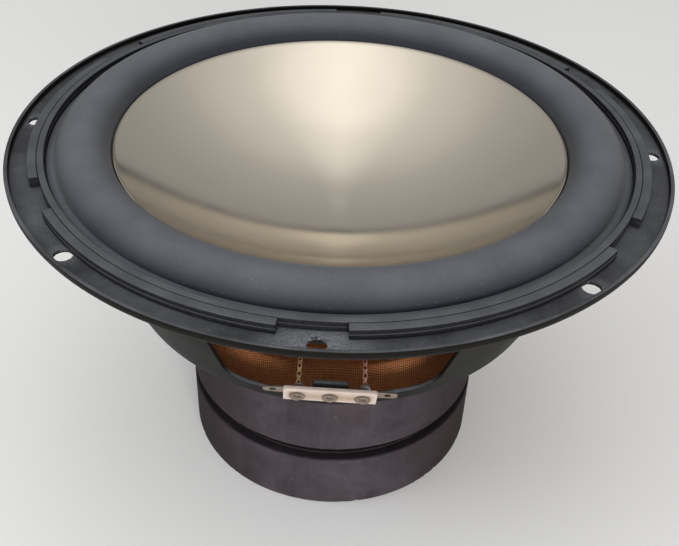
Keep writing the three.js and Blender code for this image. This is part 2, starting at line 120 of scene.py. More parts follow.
SPIDER_NECK_RADIUS = 29.5
SPIDER_LANDING_RADIUS = 77
SPIDER_WAVES = 5
SPIDER_WAVE_HEIGHT = 1.3
SPIDER_THICKNESS = 0.8

STRIP_CENTRE = (-0.5, -94.4, 97.6)
STRIP_LEAN = 20
STRIP_TURN = 2
BOARD_WIDTH, BOARD_HEIGHT, BOARD_THICKNESS = 33.5, 8.8, 1.6
TERMINAL_SPACING = 11.7
TERMINAL_DROP = 0.4
TERMINAL_HOLE_RADIUS = 1.5
LUG_INNER_END, LUG_SHOULDER, LUG_TIP = 8, 16.5, 24.2
LUG_WIDTH, LUG_THICKNESS = 4.6, 0.6
LUG_HOLE_OFFSET, LUG_HOLE_RADIUS = 20.6, 1.2
TONGUE_WIDTH, TONGUE_HEIGHT, TONGUE_TOP = 13, 15, 6.5
STRIP_GAP = 0.3
COIL_GAP = 0.3
FORMER_WALL = 0.6
COIL_TURNS = 44

LEAD_RADIUS = 0.9
LEAD_STEPS = 420
LEAD_OFFSET = 12
# The right lead from the back of its rivet to the former, as in the CAD source: (y, z).
LEAD_ROUTE = [
    (-90.2, 97.4), (-87.6, 98.3), (-84, 98.7), (-79.5, 98.2), (-75, 97.2),
    (-70, 96.2), (-64, 95.5), (-58, 95.4), (-52, 95.9), (-46.5, 97.3),
    (-41.5, 99.3), (-37, 101.6), (-33, 104), (-29.5, 106), (-26.4, 107),
]

FINE = 256  # columns of the turned pieces
STEP = 360 / FINE
DISH_CURVE_CENTRE = CONE_EDGE_HEIGHT + math.sqrt(DISH_CURVE_RADIUS**2 - CONE_RADIUS**2)


# ---- Camera ----

CAMERA_PLACE = Vector((0, -0.3362, 0.3402))
CAMERA_PITCH, CAMERA_YAW, CAMERA_ROLL = 37.903, 0.2721, 2.2831
CAMERA_LENS = 50.45


def add_camera():
    pitch, yaw, roll = (math.radians(a) for a in (CAMERA_PITCH, CAMERA_YAW, CAMERA_ROLL))
    ahead = Vector(
        (math.sin(yaw) * math.cos(pitch), math.cos(yaw) * math.cos(pitch), -math.sin(pitch))
    )
    right = Vector((math.cos(yaw), -math.sin(yaw), 0))
    up = right.cross(ahead)
    x_axis = math.cos(roll) * right + math.sin(roll) * up
    y_axis = math.cos(roll) * up - math.sin(roll) * right
    turn = Matrix((x_axis, y_axis, -ahead)).transposed()
    data = bpy.data.cameras.new("camera")
    data.lens = CAMERA_LENS
    data.sensor_width = 36
    data.clip_start = 0.01
    camera = bpy.data.objects.new("camera", data)
    camera.matrix_world = Matrix.Translation(CAMERA_PLACE) @ turn.to_4x4()
    bpy.context.scene.collection.objects.link(camera)
    bpy.context.scene.camera = camera


add_camera()


# ---- Material helpers ----


class Graph:
    """The nodes of a material or of the world, made and linked by value."""

    def __init__(self, tree):
        self.nodes, self.links = tree.nodes, tree.links

    def node(self, kind, inputs=None, **settings):
        made = self.nodes.new(kind)
        for name, value in settings.items():
            setattr(made, name, value)
        for key, value in (inputs or {}).items():
            self.set(made.inputs[key], value)
        return made

    def set(self, socket, value):
        if isinstance(value, bpy.types.NodeSocket):
            self.links.new(value, socket)
        else:
            socket.default_value = value

    def math(self, operation, a, b=0.0, c=0.0):
        return self.node("ShaderNodeMath", {0: a, 1: b, 2: c}, operation=operation).outputs[0]

    def times(self, a, b):
        return self.math("MULTIPLY", a, b)

    def span(self, value, low, high, to_low=0.0, to_high=1.0):
        """value from low..high mapped to to_low..to_high, clamped."""
        inputs = {0: value, 1: low, 2: high, 3: to_low, 4: to_high}
        return self.node("ShaderNodeMapRange", inputs).outputs[0]

    def ramp(self, value, *stops):
        made = self.node("ShaderNodeValToRGB", {0: value})
        elements = made.color_ramp.elements
        while len(elements) < len(stops):
            elements.new(0.5)
        for element, (position, colour) in zip(elements, stops):
            element.position = position
            element.color = colour
        return made.outputs[0]

    def split(self, vector):
        made = self.node("ShaderNodeSeparateXYZ", {0: vector})
        return made.outputs[0], made.outputs[1], made.outputs[2]


class Finish(Graph):
    """A procedural material on one Principled shader, in metres of the driver's frame."""

    def __init__(self, name, **constants):
        self.material = bpy.data.materials.new(name)
        self.material.use_nodes = True
        super().__init__(self.material.node_tree)
        self.shader = self.nodes["Principled BSDF"]
        for socket, value in constants.items():
            self.shader.inputs[socket.replace("_", " ")].default_value = value
        self.place = self.node("ShaderNodeTexCoord").outputs["Object"]
        self.last_bump = None

    def drive(self, socket, value):
        self.set(self.shader.inputs[socket], value)

    def colour(self, value):
        self.drive("Base Color", value)

    def roughness(self, value):
        self.drive("Roughness", value)

    def axes(self):
        return self.split(self.place)

    def stretch(self, scale, turn=(0, 0, 0)):
        inputs = {"Vector": self.place, "Scale": scale, "Rotation": turn}
        return self.node("ShaderNodeMapping", inputs).outputs[0]

    def noise(self, size_mm, detail=4, roughness=0.55, distortion=0, place=None):
        """Cloudy noise, 0 to 1, with features about size_mm across."""
        inputs = {"Vector": place or self.place, "Scale": 1 / (size_mm * MM), "Detail": detail}
        inputs |= {"Roughness": roughness, "Distortion": distortion}
        return self.node("ShaderNodeTexNoise", inputs).outputs["Fac"]

    def cells(self, size_mm):
        """Distance to the nearest of many scattered points about size_mm apart."""
        inputs = {"Vector": self.place, "Scale": 1 / (size_mm * MM)}
        return self.node("ShaderNodeTexVoronoi", inputs).outputs["Distance"]

    def mix(self, share, a, b):
        return self.node("ShaderNodeMix", {0: share, 6: a, 7: b}, data_type="RGBA").outputs[2]

    def facing_up(self):
        """1 on level faces that look up, 0 on upright and lower ones."""
        normal = self.node("ShaderNodeNewGeometry").outputs["Normal"]
        return self.span(self.split(normal)[2], 0.2, 1)

    def attribute(self, name):
        return self.node("ShaderNodeAttribute", attribute_name=name).outputs["Fac"]

    def bump(self, height, depth_mm, strength=1.0):
        inputs = {"Height": height, "Distance": depth_mm * MM, "Strength": strength}
        if self.last_bump is not None:
            inputs["Normal"] = self.last_bump
        self.last_bump = self.node("ShaderNodeBump", inputs).outputs[0]
        self.drive("Normal", self.last_bump)


def grey(value, tint=(1, 1, 1)):
    return (value * tint[0], value * tint[1], value * tint[2], 1)


COOL = (0.94, 0.98, 1.08)
WARM = (1.08, 1.0, 0.9)


# ---- Materials ----


def black_paint():
    """Satin black baked paint with fine dust on its level faces, scratched round the holes."""
    f = Finish("satin_black_paint", Specular_IOR_Level=0.08)
    patches = f.noise(28, 5, 0.6)
    specks = f.span(f.noise(0.9, 2, 0.5), 0.62, 0.74)
    dust = f.times(f.facing_up(), f.span(patches, 0.3, 0.75, 0.25, 0.9))
    painted = f.mix(patches, grey(0.004, WARM), grey(0.008, WARM))
    dusty = f.mix(f.times(dust, 0.75), painted, grey(0.21, COOL))
    speckled = f.mix(f.times(f.times(specks, dust), 0.4), dusty, grey(0.3, WARM))
    scratch_place = f.stretch((1, 7, 1), (0, 0, 0.5))
    scratches = f.span(f.noise(1.6, 4, 0.75, 2.2, scratch_place), 0.46, 0.57)
    worn = f.times(f.attribute("wear"), scratches)
    f.colour(f.mix(worn, speckled, grey(0.55, COOL)))
    f.drive("Metallic", f.span(worn, 0, 1, 0, 0.85))
    smooth = f.span(patches, 0.2, 0.8, 0.42, 0.58)
    f.roughness(f.math("ADD", smooth, f.times(dust, 0.2)))
    f.bump(f.noise(1.6, 2, 0.5), 0.05, 0.35)
    f.bump(worn, -0.05, 0.6)
    return f.material


def gasket_board():
    """Matt black pressed board: fibrous, with pale rubbed patches."""
    f = Finish("matt_gasket_board", Specular_IOR_Level=0.2)
    fibres = f.noise(1.1, 6, 0.7, 0.8)
    rubbed = f.noise(14, 4, 0.6)
    shade = f.ramp(
        fibres, (0.25, grey(0.01, COOL)), (0.55, grey(0.022, COOL)), (0.8, grey(0.05, COOL))
    )
    dust = f.times(f.facing_up(), f.span(rubbed, 0.35, 0.75, 0.5, 0.8))
    f.colour(f.mix(dust, shade, grey(0.15, COOL)))
    f.roughness(f.span(fibres, 0.2, 0.8, 0.7, 0.95))
    f.bump(fibres, 0.18, 0.8)
    f.bump(f.cells(0.8), 0.08, 0.4)
    return f.material


def surround_rubber():
    """Satin blue-grey rubber, finely grained, with a few pale specks and a film of dust on its upper
    faces; the same mask paints the crest lighter and the steep slopes darker as painted shade.
    """
    f = Finish("surround_rubber", Specular_IOR_Level=0.4, Sheen_Weight=0.12, Sheen_Roughness=0.5)
    film = f.noise(24, 5, 0.62)
    grain = f.noise(0.5, 3, 0.6)
    specks = f.span(f.noise(0.55, 1, 0.4), 0.74, 0.8)
    rubber = f.mix(film, grey(0.02, (0.88, 0.98, 1.35)), grey(0.038, (0.88, 0.98, 1.3)))
    # Painted light and shade: the sharpened up-facing mask lightens the roll's crest and leaves its
    # steep slopes dark, together with the film of dust.
    level = f.math("POWER", f.facing_up(), 2.5)
    dust = f.times(level, f.span(film, 0.3, 0.75, 0.5, 0.9))
    dust_and_slope_shade = f.mix(f.times(dust, 0.5), rubber, grey(0.26, (0.93, 0.99, 1.15)))
    f.colour(f.mix(f.times(specks, 0.35), dust_and_slope_shade, grey(0.4, WARM)))
    f.roughness(f.span(film, 0.25, 0.75, 0.42, 0.62))
    f.bump(grain, 0.03, 0.5)
    f.bump(film, 0.4, 0.12)
    return f.material


def champagne_metal():
    """Polished champagne metal, spun round the axis: near-mirror with a soft circular grain."""
    f = Finish("champagne_metal", Metallic=1.0, Anisotropic=0.6)
    x, y, _ = f.axes()
    radius = f.math("SQRT", f.math("ADD", f.times(x, x), f.times(y, y)))
    spun = f.node("ShaderNodeCombineXYZ", {0: f.times(radius, 60.0)}).outputs[0]
    rings = f.noise(4, 5, 0.75, 0, spun)
    clouds = f.noise(45, 4, 0.55)
    tint = f.mix(clouds, (0.715, 0.657, 0.556, 1), (0.765, 0.708, 0.61, 1))
    ringed = f.mix(f.span(rings, 0.3, 0.7, 0, 0.12), tint, (0.52, 0.455, 0.35, 1))
    f.colour(ringed)
    smears = f.noise(18, 6, 0.7, 1.2)
    smeared = f.span(smears, 0.3, 0.75, 0.09, 0.14)
    f.roughness(f.math("ADD", smeared, f.span(rings, 0.3, 0.7, 0, 0.04)))
    tangent = f.node("ShaderNodeTangent", direction_type="RADIAL", axis="Z")
    f.drive("Tangent", tangent.outputs[0])
    f.bump(rings, 0.004, 0.25)
    f.bump(f.noise(34, 2, 0.5), 0.12, 0.04)
    return f.material


def ferrite():
    """Ground ferrite: matt, purple-brown grey, clouded with dust and darker brown in places, with
    painted shade on its left and right sides and on its upward faces.
    """
    f = Finish("ferrite", Specular_IOR_Level=0.15)
    clouds = f.noise(22, 6, 0.62, 0.4)
    grain = f.noise(0.8, 4, 0.65)
    streak_place = f.stretch((1, 1, 0.25))
    streaks = f.noise(7, 4, 0.6, 0.6, streak_place)
    base = f.ramp(
        clouds,
        (0.25, (0.03, 0.023, 0.027, 1)),
        (0.5, (0.052, 0.042, 0.05, 1)),
        (0.78, (0.082, 0.068, 0.083, 1)),
    )
    dusty = f.mix(f.span(streaks, 0.4, 0.75, 0, 0.22), base, (0.105, 0.094, 0.11, 1))
    brown = f.mix(f.span(f.noise(38, 3), 0.55, 0.75, 0, 0.45), dusty, (0.05, 0.03, 0.026, 1))
    pits = f.span(f.cells(5.5), 0.02, 0.07)
    chips = f.span(f.noise(1.4, 2, 0.5), 0.7, 0.76)
    pale = f.mix(f.times(chips, 0.25), brown, (0.26, 0.24, 0.26, 1))
    # Painted shade: the rings darken towards their left and right sides, where they turn away from
    # the light, and on their upward faces, which lie in shade under the basket and between the
    # magnets.
    x, _, _ = f.axes()
    side = f.span(f.math("ABSOLUTE", x), 25 * MM, 66 * MM)
    shaded_sides = f.mix(f.times(side, 0.9), pale, (0.018, 0.011, 0.01, 1))
    shaded_sides_and_tops = f.mix(f.times(f.facing_up(), 0.85), shaded_sides, (0.012, 0.009, 0.012, 1))
    f.colour(f.mix(pits, (0.03, 0.025, 0.028, 1), shaded_sides_and_tops))
    f.roughness(f.span(clouds, 0.2, 0.8, 0.68, 0.9))
    f.bump(grain, 0.06, 0.45)
    f.bump(pits, 0.15, 0.5)
    f.bump(clouds, 0.5, 0.15)
    return f.material


def dark_steel():
    """Blackened steel plate with turning marks round the axis and traces of rust."""
    f = Finish("blackened_steel")
    _, _, z = f.axes()
    turned = f.node(
        "ShaderNodeCombineXYZ", {2: f.times(z, 12.0), 0: f.noise(30, 2)}
    ).outputs[0]
    marks = f.noise(9, 4, 0.7, 0, turned)
    stains = f.noise(9, 5, 0.65, 0.8)
    dark = f.mix(marks, (0.009, 0.007, 0.01, 1), (0.024, 0.02, 0.026, 1))
    rusted = f.mix(f.span(stains, 0.62, 0.78, 0, 0.6), dark, (0.06, 0.026, 0.014, 1))
    f.colour(rusted)
    f.drive("Metallic", f.span(stains, 0.55, 0.7, 0.4, 0.1))
    f.roughness(f.span(stains, 0.3, 0.7, 0.42, 0.72))
    f.bump(marks, 0.04, 0.4)
    return f.material


def clouded(name, clouds, dark, bright, rough, relief, grain=(1, 1, 1), **constants):
    """A material whose colour, roughness and relief all follow one cloudy noise."""
    f = Finish(name, **constants)
    lumps = f.noise(*clouds, 0, f.stretch(grain))
    f.colour(f.mix(lumps, dark, bright))
    f.roughness(f.span(lumps, 0.3, 0.7, *rough))
    f.bump(lumps, *relief)
    return f.material


THREAD_PITCH = 0.8  # mm between threads


def spider_cloth():
    """Plain-woven cloth stiffened with orange-brown resin."""
    f = Finish("spider_cloth", Specular_IOR_Level=0.12)
    x, y, _ = f.axes()
    per_metre = 1 / (THREAD_PITCH * MM)
    across, along = (
        f.math("ABSOLUTE", f.math("SINE", f.times(v, math.pi * per_metre))) for v in (x, y)
    )
    warp, weft = (
        f.times(f.math("POWER", a, 0.5), f.math("MULTIPLY_ADD", b, 0.5, 0.5))
        for a, b in ((across, along), (along, across))
    )
    thread_x, thread_y = (f.math("FLOOR", f.times(v, per_metre)) for v in (x, y))
    over = f.math("FLOORED_MODULO", f.math("ADD", thread_x, thread_y), 2.0)
    under = f.math("SUBTRACT", 1.0, over)
    height = f.math("ADD", f.times(warp, over), f.times(weft, under))
    resin = f.noise(16, 4, 0.6)
    fibre = f.noise(0.6, 3, 0.7)
    thread = f.mix(resin, (0.52, 0.155, 0.055, 1), (0.74, 0.28, 0.11, 1))
    lit = f.mix(f.span(fibre, 0.35, 0.8, 0, 0.5), thread, (0.95, 0.56, 0.3, 1))
    # Painted shade: the valleys between the threads are coloured near black.
    f.colour(f.mix(f.span(height, 0.15, 0.75), (0.045, 0.012, 0.006, 1), lit))
    f.roughness(f.span(fibre, 0.2, 0.8, 0.75, 0.95))
    f.bump(height, 0.28, 0.9)
    f.bump(fibre, 0.06, 0.4)
    return f.material


def cream_board():
    """Cream moulded board, browned by flux round the rivets, with a rubbed face."""
    f = Finish("cream_board", Specular_IOR_Level=0.4)
    clouds = f.noise(6, 5, 0.6)
    fibre = f.noise(0.7, 4, 0.7, 1.0, f.stretch((0.25, 1, 1)))
    base = f.mix(clouds, (0.42, 0.335, 0.3, 1), (0.61, 0.51, 0.46, 1))
    fibred = f.mix(f.span(fibre, 0.4, 0.75, 0, 0.35), base, (0.72, 0.64, 0.57, 1))
    flux = f.times(f.attribute("wear"), f.span(clouds, 0.2, 0.6, 0.5, 1))
    f.colour(f.mix(flux, fibred, (0.27, 0.17, 0.09, 1)))
    f.roughness(f.span(clouds, 0.3, 0.7, 0.45, 0.7))
    f.bump(fibre, 0.05, 0.5)
    f.bump(clouds, 0.15, 0.3)
    return f.material


def tinned_brass():
    """Dull tinned brass, drawn and a little tarnished."""
    f = Finish("tinned_brass", Anisotropic=0.3)
    tarnish = f.noise(3.2, 5, 0.65)
    lines = f.noise(1.2, 4, 0.7, 0, f.stretch((0.12, 1, 1)))
    bright = f.mix(lines, (0.24, 0.19, 0.155, 1), (0.44, 0.37, 0.32, 1))
    f.colour(f.mix(f.span(tarnish, 0.45, 0.75, 0, 0.7), bright, (0.2, 0.11, 0.07, 1)))
    f.drive("Metallic", f.span(tarnish, 0.5, 0.8, 0.9, 0.5))
    f.roughness(f.span(tarnish, 0.3, 0.75, 0.4, 0.62))
    f.bump(lines, 0.03, 0.4)
    return f.material


def tinsel(name, dark, bright):
    """Foil strands braided round a thread; the valleys between them are painted darker as shade."""
    f = Finish(name, Metallic=0.3)
    strand = f.attribute("strand")
    glint = f.noise(0.7, 3, 0.7)
    metal = f.mix(f.span(glint, 0.3, 0.75), dark, bright)
    f.colour(f.mix(f.span(strand, 0.35, 0.85), (0.09, 0.022, 0.01, 1), metal))
    f.roughness(f.span(glint, 0.3, 0.7, 0.28, 0.5))
    f.bump(glint, 0.05, 0.5)
    return f.material


def kraft_paper():
    f = Finish("kraft_paper")
    pulp = f.noise(1.0, 6, 0.7)
    wash = f.noise(12, 3)
    washed = f.mix(wash, (0.24, 0.13, 0.06, 1), (0.32, 0.2, 0.1, 1))
    f.colour(f.mix(pulp, washed, (0.45, 0.3, 0.17, 1)))
    f.roughness(f.span(pulp, 0.2, 0.8, 0.75, 0.92))
    f.bump(pulp, 0.08, 0.5)
    return f.material


def copper():
    f = Finish("enamelled_copper", Coat_Weight=0.6, Coat_Roughness=0.15)
    heat = f.noise(8, 3)
    f.colour(f.mix(heat, (0.5, 0.17, 0.06, 1), (0.68, 0.29, 0.11, 1)))
    f.drive("Metallic", f.span(heat, 0, 1, 0.85, 1))
    f.roughness(f.span(heat, 0.3, 0.7, 0.25, 0.4))
    return f.material


def pale_floor():
    f = Finish("pale_floor")
    wash = f.noise(400, 2)
    f.colour(f.mix(wash, grey(0.86), grey(0.9)))
    f.roughness(f.span(wash, 0, 1, 0.75, 0.85))
    return f.material


PAINT = black_paint()
BOARD = gasket_board()
RUBBER = surround_rubber()
CHAMPAGNE = champagne_metal()
FERRITE = ferrite()
STEEL = dark_steel()
GLUE = clouded(
    "dried_adhesive", (3, 4, 0.6), (0.012, 0.01, 0.012, 1), (0.045, 0.034, 0.036, 1),
    (0.35, 0.65), (0.3, 0.5), Specular_IOR_Level=0.25,
)
CLOTH = spider_cloth()
CREAM = cream_board()
TINNED = tinned_brass()
SOLDER = clouded(
    "solder", (1.6, 4, 0.6), (0.38, 0.37, 0.36, 1), (0.62, 0.61, 0.6, 1),
    (0.25, 0.45), (0.1, 0.5), Metallic=1.0,
)
FOIL = clouded(
    "former_foil", (2.5, 4, 0.7), grey(0.5), grey(0.62),
    (0.25, 0.4), (0.02, 0.4), grain=(1, 1, 0.1), Metallic=1.0,
)
KRAFT = kraft_paper()
COPPER = copper()
GOLD_TINSEL = tinsel("gold_tinsel", (0.7, 0.4, 0.16, 1), (1.0, 0.82, 0.5, 1))
RED_TINSEL = tinsel("red_tinsel", (0.7, 0.22, 0.14, 1), (1.0, 0.7, 0.6, 1))


# ---- Mesh helpers ----


SHARP_ANGLE = 35  # degrees: steeper edges between faces stay sharp


def add_object(name, vertices, faces, material, sharp_angle=SHARP_ANGLE):
    """A mesh object from points in millimetres, smooth but for edges sharper than sharp_angle."""
    mesh = bpy.data.meshes.new(name)
    mesh.from_pydata([Vector(v) * MM for v in vertices], [], faces)
    mesh.materials.append(material)
    obj = bpy.data.objects.new(name, mesh)
    bpy.context.scene.collection.objects.link(obj)
    clean(mesh)
    smooth(mesh, sharp_angle)
    return obj


def smooth(mesh, sharp_angle):
    mesh.shade_smooth()
    mesh.set_sharp_from_angle(angle=math.radians(sharp_angle))


def clean(mesh):
    """Joins doubled points and turns every face outwards."""
    bm = bmesh.new()
    bm.from_mesh(mesh)
    bmesh.ops.remove_doubles(bm, verts=bm.verts, dist=1e-6)
    bmesh.ops.recalc_face_normals(bm, faces=bm.faces)
    bm.to_mesh(mesh)
    bm.free()


def shape_with(obj, **modifiers):
    """Applies modifiers, given as TYPE=settings in order, to obj's mesh."""
    for kind, settings in modifiers.items():
        modifier = obj.modifiers.new(kind.lower(), kind)
        for key, value in settings.items():
            setattr(modifier, key, value)
    graph = bpy.context.evaluated_depsgraph_get()
    shaped = bpy.data.meshes.new_from_object(obj.evaluated_get(graph))
    obj.modifiers.clear()
    obj.data = shaped
    smooth(shaped, SHARP_ANGLE)


def bevel(width_mm):
    return {
        "width": width_mm * MM,
        "segments": 2,
        "limit_method": "ANGLE",
        "angle_limit": math.radians(50),
        "use_clamp_overlap": False,
    }


def rounded(corners, closed=True, steps=5):
    """A line through (a, b, reach) corners, each rounded over its reach."""
    line = []
    count = len(corners)
    for i, (a, b, reach) in enumerate(corners):
        here = Vector((a, b))
        if reach == 0 or (not closed and i in (0, count - 1)):
            line.append((a, b))
            continue
        before = Vector(corners[i - 1][:2]) - here
        after = Vector(corners[(i + 1) % count][:2]) - here
        start = here + before.normalized() * min(reach, before.length * 0.5)
        end = here + after.normalized() * min(reach, after.length * 0.5)
        for k in range(steps + 1):
            t = k / steps
            point = start.lerp(here, t).lerp(here.lerp(end, t), t)
            line.append((point.x, point.y))
    return line


def resampled(line, longest):
    """The line with extra points so that no step is longer than longest."""
    result = [line[0]]
    for a, b in zip(line, line[1:]):
        steps = max(1, math.ceil(math.dist(a, b) / longest))
        result += [
            (a[0] + (b[0] - a[0]) * k / steps, a[1] + (b[1] - a[1]) * k / steps)
            for k in range(1, steps + 1)
        ]
    return result


def polar(angle, radius, height):
    """A point at an angle in degrees from -Y towards +X."""
    turn = math.radians(angle)
    return (radius * math.sin(turn), -radius * math.cos(turn), height)


def turned(name, profile, material, columns=FINE, sharp_angle=SHARP_ANGLE):
    """A closed (radius, height) profile turned round the Z axis."""
    vertices = [polar(360 * j / columns, r, z) for j in range(columns) for r, z in profile]
    n = len(profile)
    faces = []
    for j in range(columns):
        k = (j + 1) % columns
        for i in range(n):
            m = (i + 1) % n
            if profile[i][0] == 0 and profile[m][0] == 0:
                continue
            quad = [j * n + i, k * n + i, k * n + m, j * n + m]
            if profile[i][0] == 0:
                quad.pop(1)
            elif profile[m][0] == 0:
                quad.pop(2)
            faces.append(quad)
    return add_object(name, vertices, faces, material, sharp_angle)


def ring_profile(inner, outer, bottom, top, reach):
    return rounded([
        (inner, bottom, reach), (outer, bottom, reach), (outer, top, reach), (inner, top, reach)
    ])


def ring(name, inner, outer, bottom, top, reach, material):
    return turned(name, ring_profile(inner, outer, bottom, top, reach), material)


def skin(rows, sides, closed=False):
    """Faces over rows of points round a section; a closed skin joins the last row to the first."""
    faces = [
        (j * sides + k, j * sides + (k + 1) % sides,
         (j + 1) % rows * sides + (k + 1) % sides, (j + 1) % rows * sides + k)
        for j in range(rows if closed else rows - 1) for k in range(sides)
    ]
    if not closed:
        faces += [list(range(sides)), list(range((rows - 1) * sides, rows * sides))]
    return faces


def set_attribute(obj, name, values):
    attribute = obj.data.attributes.new(name, "FLOAT", "POINT")
    attribute.data.foreach_set("value", np.asarray(values, np.float32))


def points_mm(obj):
    flat = np.zeros(len(obj.data.vertices) * 3)
    obj.data.vertices.foreach_get("co", flat)
    return flat.reshape(-1, 3) / MM


def belongs(obj, body, slot, *nodes):
    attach(obj, body)
    if nodes:
        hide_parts(*nodes)


def joined(name, parts):
    """One object from several, which keeps each one's material."""
    bpy.ops.object.select_all(action="DESELECT")
    for part in parts:
        part.select_set(True)
    bpy.context.view_layer.objects.active = parts[0]
    bpy.ops.object.join()
    parts[0].name = name
    return parts[0]


# ---- Magnet stack ----


CHIP_REACH = 2.2  # how far from an edge a magnet is chipped


def roughened_ring(name, bottom, top):
    """A ferrite ring with ground faces, worn corners and small chips along its edges."""
    profile = ring_profile(MAGNET_BORE_RADIUS, MAGNET_RADIUS, bottom, top, 1.1)
    magnet = turned(name, resampled(profile, 3.5), FERRITE)
    for vertex in magnet.data.vertices:
        point = vertex.co / MM
        radius = math.hypot(point.x, point.y)
        edge = min(abs(point.z - bottom), abs(point.z - top)) + (MAGNET_RADIUS - radius)
        chip = noise.noise(point * 0.45) - 0.28
        if edge < CHIP_REACH and chip > 0:
            vertex.co *= 1 - chip * 0.012 * (CHIP_REACH - edge)
    return magnet


def glue_bead(name, height, seed, lump_angle):
    """Adhesive that has squeezed out round the yoke plate, uneven, with one large lump."""
    columns, sides = 360, 10
    vertices = []
    for j in range(columns):
        angle = 360 * j / columns
        swell = noise.noise(Vector((math.cos(math.radians(angle)) * 3, angle * 0.09, seed)))
        lump = math.exp(-(((angle - lump_angle + 180) % 360 - 180) / 4.5) ** 2)
        size = 0.42 + 0.3 * swell + 1.2 * lump
        for k in range(sides):
            turn = math.tau * k / sides
            radius = YOKE_RADIUS + 0.4 + 1.5 * size * math.cos(turn)
            vertices.append(polar(angle, radius, height + 0.9 * size * math.sin(turn)))
    bead = add_object(name, vertices, skin(columns, sides, closed=True), GLUE)
    belongs(bead, FRAME_BODY, "plated_steel")


def build_motor():
    lower = roughened_ring("magnet_lower", 0, LOWER_MAGNET_TOP)
    belongs(lower, FRAME_BODY, "ferrite", "lower_magnet")
    upper = roughened_ring("magnet_upper", UPPER_MAGNET_BOTTOM, UPPER_MAGNET_TOP)
    belongs(upper, FRAME_BODY, "ferrite", "upper_magnet")
    yoke_top = YOKE_BOTTOM + YOKE_THICKNESS
    yoke = turned(
        "yoke_and_pole",
        rounded([
            (VENT_RADIUS, YOKE_BOTTOM, 1), (YOKE_RADIUS, YOKE_BOTTOM, 0.8),
            (YOKE_RADIUS, yoke_top, 0.8), (POLE_RADIUS, yoke_top, 2.5),
            (POLE_RADIUS, POLE_TOP, 0.8), (VENT_RADIUS, POLE_TOP, 1.6),
        ]),
        STEEL,
    )
    belongs(yoke, FRAME_BODY, "plated_steel", "pole_yoke")
    glue_bead("yoke_glue_upper", yoke_top - 0.1, 1.7, -8)
    glue_bead("yoke_glue_lower", YOKE_BOTTOM + 0.1, 6.2, 143)
    plate = ring(
        "front_plate", TOP_PLATE_BORE_RADIUS, TOP_PLATE_RADIUS, TOP_PLATE_BOTTOM, TOP_PLATE_TOP,
        0.8, STEEL,
    )
    belongs(plate, FRAME_BODY, "plated_steel", "top_plate")


# ---- Basket ----

WINDOW_PATCH_COLUMNS = 21  # from a window's middle to the edge of its own patch
WINDOW_PATCH_HEIGHTS = (WINDOW_SILL - 3, WINDOW_HEAD + 2)
HOLE_PATCH_COLUMNS = 3
HOLE_PATCH_RADII = (120.4, 128.5)
PATCH_RINGS = 5
FLANGE_TWIST = MOUNTING_TURN + 2 * STEP  # lines the columns up with the holes
TWIST_START_RADIUS, TWIST_REACH = 113.5, 4
MEAN_WALL_RADIUS = 100


def basket_line():
    """Upper and inner face of the pressed sheet, from the floor's bore to the top of the lip."""
    inner_lip = FLANGE_RADIUS - LIP_THICKNESS
    floor = BASKET_BOTTOM + SHEET
    corners = [
        (BASKET_BORE_RADIUS, floor, 0), (60.8, floor, 2.4), (64.6, SHELF_TOP, 2.6),
        (WALL_FOOT_RADIUS, SHELF_TOP, 1.8), (WALL_HEAD_RADIUS, WALL_HEAD_HEIGHT, 4),
        (FLANGE_INNER_RADIUS, FLANGE_TOP, 3.2), (inner_lip, FLANGE_TOP, 1.3),
        (inner_lip, LIP_TOP, 0),
    ]
    return resampled(rounded(corners, closed=False, steps=6), 2.2)


def square_edge(columns, rows):
    """Cells round the edge of a block, in order, as (column, row) from its lower left corner."""
    return (
        [(c, 0) for c in range(columns)]
        + [(columns, r) for r in range(rows)]
        + [(c, rows) for c in range(columns, 0, -1)]
        + [(0, r) for r in range(rows, 0, -1)]
    )


class Bowl:
    """The pressed sheet's upper face, by angle and by the distance run along its line."""

    def __init__(self):
        self.radii, self.heights = (np.array(v) for v in zip(*basket_line()))
        steps = np.hypot(np.diff(self.radii), np.diff(self.heights))
        self.run = np.concatenate([[0], np.cumsum(steps)])

    def point(self, angle, along):
        radius = np.interp(along, self.run, self.radii)
        return polar(angle, radius, np.interp(along, self.run, self.heights))

    def at_height(self, height):
        """Distance run at a height of the wall."""
        wall = (self.radii > WALL_FOOT_RADIUS + 0.4) & (self.radii < FLANGE_INNER_RADIUS + 1)
        return float(np.interp(height, self.heights[wall], self.run[wall]))

    def at_radius(self, radius):
        """Distance run at a radius of the flange's floor."""
        lip = LIP_TOP - FLANGE_TOP
        return float(self.run[-1] - lip - (FLANGE_RADIUS - LIP_THICKNESS - radius))

    def twist(self, along):
        """Turn of a row of points: none on the wall, FLANGE_TWIST on the flange."""
        share = np.clip((along - self.at_radius(TWIST_START_RADIUS)) / TWIST_REACH, 0, 1)
        return FLANGE_TWIST * float(share)


def window_edge(bowl, u, v):
    """A window's outline as (angle, run): a rectangle with round corners, met by a ray (u, v)."""
    low, high = (bowl.at_height(z) for z in (WINDOW_SILL, WINDOW_HEAD))
    half_run = (high - low) / 2
    half_width = math.radians(WINDOW_HALF_ANGLE) * MEAN_WALL_RADIUS
    x, y = u * half_width, v * half_run
    core = Vector((
        max(-(half_width - WINDOW_CORNER), min(half_width - WINDOW_CORNER, x)),
        max(-(half_run - WINDOW_CORNER), min(half_run - WINDOW_CORNER, y)),
    ))
    point = core + (Vector((x, y)) - core).normalized() * WINDOW_CORNER
    return math.degrees(point.x / MEAN_WALL_RADIUS), (low + high) / 2 + point.y


def hole_edge(bowl, u, v):
    """A mounting hole's outline as (angle, run), met by a ray (u, v)."""
    out = Vector((u, v)).normalized() * MOUNTING_HOLE_RADIUS
    angle = math.degrees(out.x / MOUNTING_CIRCLE_RADIUS)
    return angle, bowl.at_radius(MOUNTING_CIRCLE_RADIUS) + out.y


